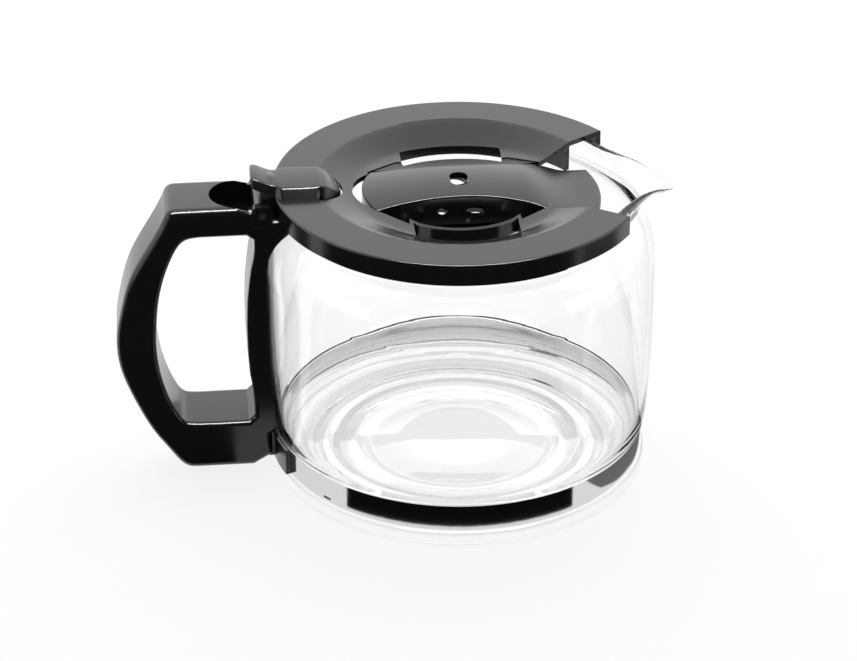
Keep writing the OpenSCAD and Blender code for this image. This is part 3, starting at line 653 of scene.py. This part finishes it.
def saddleSkin():
    # the crowned face, which falls in an S to the tongue
    look = insertShape
    deselectAll()
    bpy.ops.mesh.primitive_grid_add(x_subdivisions=look["grid"][0], y_subdivisions=look["grid"][1], size=2)
    saddle = bpy.context.object
    saddle.name = "flowInsert"
    tailRadius, tailHalf = look["tailRound"]
    tongueHalf, tongueRadius, tongueTop = look["tongue"]
    fallStart, fallEnd = look["fall"]
    for vertex in saddle.data.vertices:
        along, across = (vertex.co.x + 1) / 2, vertex.co.y
        start = -math.sqrt(tailRadius ** 2 - (across * tailHalf) ** 2)
        stop = math.sqrt(tongueRadius ** 2 - (across * tongueHalf) ** 2)
        x = start + (stop - start) * along
        y = across * saddleHalf(x)
        z = look["top"] - x * x / (2 * look["longRadius"]) - y * y / (2 * look["crossRadius"])
        share = easeIn(max(0.0, min(1.0, (x - fallStart) / (fallEnd - fallStart))))
        vertex.co = Vector((x, y, z + (tongueTop - z) * share)) * mm
    return saddle


def buildSaddle():
    look = insertShape
    saddle = saddleSkin()
    openMesh(saddle)
    bpy.ops.mesh.normals_make_consistent(inside=False)
    bpy.ops.mesh.region_to_loop()
    extrudeBy(0, 0, -look["brow"])
    extrudeBy(0, 0, -20)
    bpy.ops.object.mode_set(mode="OBJECT")
    # the walls' lower edge is level, and rises under the tongue
    for vertex in saddle.data.vertices:
        x, y, z = vertex.co / mm
        if z < 99.7:
            share = max(0.0, min(1.0, (x - look["head"][0]) / look["tongueFoot"]))
            vertex.co.z = (look["foot"] + (look["tongue"][2] - look["tongueThick"] - look["foot"]) * share) * mm
    openMesh(saddle)
    faceOutwards()
    rounding = saddle.modifiers.new("rounding", "BEVEL")
    rounding.width = look["edge"] * mm
    rounding.segments = 3
    rounding.limit_method = "ANGLE"
    rounding.angle_limit = math.radians(45)
    thick = saddle.modifiers.new("thick", "SOLIDIFY")
    thick.thickness = look["wall"] * mm
    thick.offset = -1
    applyAll(saddle)
    height, halfHeight = look["windowZ"]
    for x, half, side in look["windows"]:
        punch(saddle, ovalCutter((x, side * 15, height), (half, halfHeight), 90))
    wide, long = look["vent"]
    ends = ((long - wide, 0, 180), (wide - long, 180, 360))
    vent = drawLine("ventCutter", [(x, y + shift, 100) for shift, start, end in ends
                                   for x, y in arcPoints(0, 0, wide, start, end, 12)])
    fillOutline()
    extrudeBy(0, 0, 30)
    faceOutwards()
    punch(saddle, vent)
    return saddle


def buildTray():
    # floor of the pockets with its steep wall and the two lips along the drip slots
    look = insertShape
    cornerX, cornerY = look["corner"]
    slotHalf, lip, floor = look["slotHalf"], look["lipRadius"], look["floor"]
    end = math.degrees(math.acos(slotHalf / lip))
    front = [(look["head"][0], -look["pocketEnd"][0]), (cornerX, -cornerY), (slotHalf + 0.1, -cornerY)]
    front += arcPoints(0, 0, lip, -end, -180 + end, 24)
    front += [(-slotHalf - 0.1, -cornerY), (-cornerX, -cornerY), (-look["tail"][0] + 0.1, -look["pocketEnd"][1])]
    outline = front + [(x, -y) for x, y in reversed(front)]
    tray = drawLine("insertTray", [(x, y, look["rimTop"]) for x, y in outline])
    fillOutline()
    bpy.ops.mesh.inset(thickness=look["rimWidth"] * mm, depth=0)
    bpy.ops.mesh.inset(thickness=look["slope"] * mm, depth=0)
    bpy.ops.transform.translate(value=(0, 0, (floor - look["rimTop"]) * mm))
    bpy.ops.mesh.select_all(action="SELECT")
    bpy.ops.mesh.region_to_loop()
    extrudeBy(0, 0, -1)
    bpy.ops.object.mode_set(mode="OBJECT")
    lower = {k for edge in tray.data.edges if edge.select for k in edge.vertices}
    for k in lower:
        tray.data.vertices[k].co.z = look["under"] * mm
    bpy.ops.object.mode_set(mode="EDIT")
    bpy.ops.mesh.edge_face_add()
    faceOutwards()
    # the holes are cut while all faces are flat, and only then the rim takes its heights
    for x, y, halfX, halfY in look["holes"]:
        punch(tray, ovalCutter((x, y, 109), (halfX, halfY)))
    for vertex in tray.data.vertices:
        x, y, z = vertex.co / mm
        r = math.hypot(x, y)
        onLip = abs(x) < slotHalf - 1 and r > 28
        if z > floor + 1:
            height = look["lipTop"] - (look["lipFall"] if r > lip - 0.2 else 0) if onLip else dishHeight(x, y)
            vertex.co.z = (height - (look["backRimDrop"] if y > 10 else 0)) * mm
        elif onLip and z > floor - 0.5:
            vertex.co.x *= look["bowlRadius"] / r
            vertex.co.y *= look["bowlRadius"] / r
    return tray


def buildShelf():
    # behind the saddle the dish runs on to it as a shelf
    look = insertShape
    slotHalf = look["slotHalf"]
    cornerX, cornerY = look["corner"][0], look["corner"][1] - look["shelfBack"]
    end = math.degrees(math.acos(slotHalf / look["lipRadius"]))
    outline = [(-31.0, 18.2), (-31.5, 17.9), (-cornerX, cornerY), (-slotHalf - 0.1, cornerY)]
    outline += arcPoints(0, 0, look["lipRadius"] - 0.9, 180 - end, end, 24)
    outline += [(slotHalf + 0.1, cornerY), (cornerX, cornerY), (32.0, 20.3), (31.0, 19.8)]
    shelf = drawLine("insertShelf", [(x, y, dishHeight(x, y) - look["shelfDrop"]) for x, y in outline])
    fillOutline()
    extrudeBy(0, 0, -look["shelfThick"])
    faceOutwards()
    # a curtain under its back edge keeps the daylight off the slot's far wall
    for vertex in shelf.data.vertices[len(outline):]:
        x, y, z = vertex.co / mm
        if abs(x) < slotHalf - 1 and y > 23:
            vertex.co.z = look["curtain"] * mm
    return shelf


def buildInsert():
    saddle = buildSaddle()
    joinInto(saddle, [buildTray(), buildShelf()])
    handIn(saddle, "flow_insert", "lid", insertShape["smooth"], blackPlastic)
    print("insert shaped")


buildInsert()


studio = {
    "floorSize": 12.0, "floorShade": 0.82, "floorGlow": 0.84, "skyLight": 0.55, "skyShine": 1.6,
    "softBox": (0.05, 0.75, 1.25), "softBoxSize": (1.8, 1.5), "softBoxPower": 26.0,
    "blackShade": 0.004, "glint": 62.0, "sideGrey": 0.17,
    # outlines on the floor, in millimetres, that the steel band mirrors
    "frontCloth": [(-88.0, -16.0), (-88.0, -60.5), (-60.2, -55.2), (-58.7, -56.0), (-52.2, -63.0), (-44.8, -69.3),
                   (-36.6, -74.4), (-27.7, -78.4), (-18.3, -81.3), (-8.6, -82.8), (1.2, -83.2), (11.0, -82.4),
                   (20.5, -80.3), (29.7, -76.9), (38.2, -72.5), (48.4, -65.2), (63.0, -70.1), (900.0, -363.0),
                   (900.0, -1600.0), (-900.0, -1600.0), (-900.0, -16.0)],
    "sideCloth": [(69.0, -62.0), (64.0, -50.5), (66.5, -41.0), (71.0, -28.0), (73.2, -14.0), (73.6, 4.0),
                  (300.0, 30.0), (300.0, -124.0)],
}


def addPlane(name, x0, x1, y0, y1, z):
    deselectAll()
    bpy.ops.mesh.primitive_plane_add(size=1, location=((x0 + x1) / 2, (y0 + y1) / 2, z))
    plane = bpy.context.object
    plane.name = name
    plane.scale = (x1 - x0, y1 - y0, 1)
    settle(plane)
    return plane


def seenRays(bench):
    # 1 for the rays that show the surroundings, 0 for those that light the scene
    camera, glossy, through = (bench.node("ShaderNodeLightPath", output=name) for name in (
        "Is Camera Ray", "Is Glossy Ray", "Is Transmission Ray"))
    return (camera + glossy + through).clamped()


def buildFloor():
    half = studio["floorSize"] / 2
    floor = addPlane("studioFloor", -half, half, -half, half, 0.0)
    material, bench = newMaterial("floorPaper")
    paper = bench.node("ShaderNodeBsdfDiffuse", {}, {"Color": grey(studio["floorShade"])})
    white = bench.node("ShaderNodeEmission", {}, {"Color": grey(1.0), "Strength": 1.0})
    mixed = bench.node("ShaderNodeMixShader", {}, {0: seenRays(bench) * studio["floorGlow"], 1: paper, 2: white})
    bench.node("ShaderNodeOutputMaterial", {}, {"Surface": mixed})
    dress(floor, material)


def buildWorld():
    world = bpy.data.worlds.new("studioWorld")
    bpy.context.scene.world = world
    world.use_nodes = True
    bench = Bench(world.node_tree)
    glossy = bench.node("ShaderNodeLightPath", output="Is Glossy Ray")
    strength = studio["skyLight"] + seenRays(bench) * (1.0 - studio["skyLight"]) + glossy * (studio["skyShine"] - 1.0)
    sky = bench.node("ShaderNodeBackground", {}, {"Color": grey(1.0), "Strength": strength})
    bench.node("ShaderNodeOutputWorld", {}, {"Surface": sky})


def addSoftBox():
    # soft light from behind and above, aimed at the jug and not mirrored in it
    bpy.ops.object.light_add(type="AREA", location=studio["softBox"])
    lamp = bpy.context.object
    lamp.name = "softBox"
    lamp.data.shape = "RECTANGLE"
    lamp.data.size, lamp.data.size_y = studio["softBoxSize"]
    lamp.data.energy = studio["softBoxPower"]
    lamp.rotation_euler = (Vector((0, 0, 0.08)) - lamp.location).to_track_quat("-Z", "Y").to_euler()
    lamp.visible_glossy = False


def cardMaterial(name, shade):
    material, bench = newMaterial(name)
    cloth = bench.node("ShaderNodeEmission", {}, {"Color": grey(shade), "Strength": 1.0})
    bench.node("ShaderNodeOutputMaterial", {}, {"Surface": cloth})
    return material


def hangCard(card, material):
    # seen in reflections only
    dress(card, material)
    card.visible_camera = False
    card.visible_diffuse = False
    card.visible_shadow = False
    card.visible_transmission = False


def layCloth(name, points, z, material):
    # a flat cloth with the given outline, laid on the floor
    cloth = drawLine(name, [(x, y, z) for x, y in points])
    fillOutline()
    bpy.ops.object.mode_set(mode="OBJECT")
    hangCard(cloth, material)


def buildCards():
    # black card over and behind the camera, and dark cloth on the floor in front, as the photo's reflections ask
    darkCard = cardMaterial("blackCard", studio["blackShade"])
    back = addPlane("backCard", -3.5, 3.5, -1.4, 1.4, 0.0)
    back.rotation_euler = (math.radians(90), 0, 0)
    back.location = (0, -2.3, 1.3)
    settle(back)
    hangCard(back, darkCard)
    hangCard(addPlane("topCard", -3.5, 3.5, -2.3, -0.62, 1.7), darkCard)
    # a narrow bright card gives the edges their fine light line
    hangCard(addPlane("glintCard", -0.7, 0.7, -0.54, -0.36, 1.3), cardMaterial("glintCard", studio["glint"]))
    layCloth("floorCloth", studio["frontCloth"], 0.8, darkCard)
    layCloth("sideCloth", studio["sideCloth"], 0.7, cardMaterial("greyCard", studio["sideGrey"]))


# solved from the ellipses in the photo
cameraPlace = {
    "right": (0.99553, -0.09441, -0.00276), "up": (0.04826, 0.48335, 0.87410), "forward": (0.08119, 0.87032, -0.48574),
    "place": (-0.10398, -0.98932, 0.60530), "sensor": 36.0, "lens": 123.12, "clip": (0.01, 50.0),
}


def buildCamera():
    look = cameraPlace
    bpy.ops.object.camera_add()
    camera = bpy.context.object
    camera.name = "photoCamera"
    turn = Matrix((Vector(look["right"]), Vector(look["up"]), -Vector(look["forward"]))).transposed().to_4x4()
    turn.translation = Vector(look["place"])
    camera.matrix_world = turn
    camera.data.sensor_width = look["sensor"]
    camera.data.lens = look["lens"]
    camera.data.clip_start, camera.data.clip_end = look["clip"]
    bpy.context.scene.camera = camera


buildFloor()
buildWorld()
addSoftBox()
buildCards()
buildCamera()
bpy.context.scene.view_settings.view_transform = "Standard"
print("studio set")
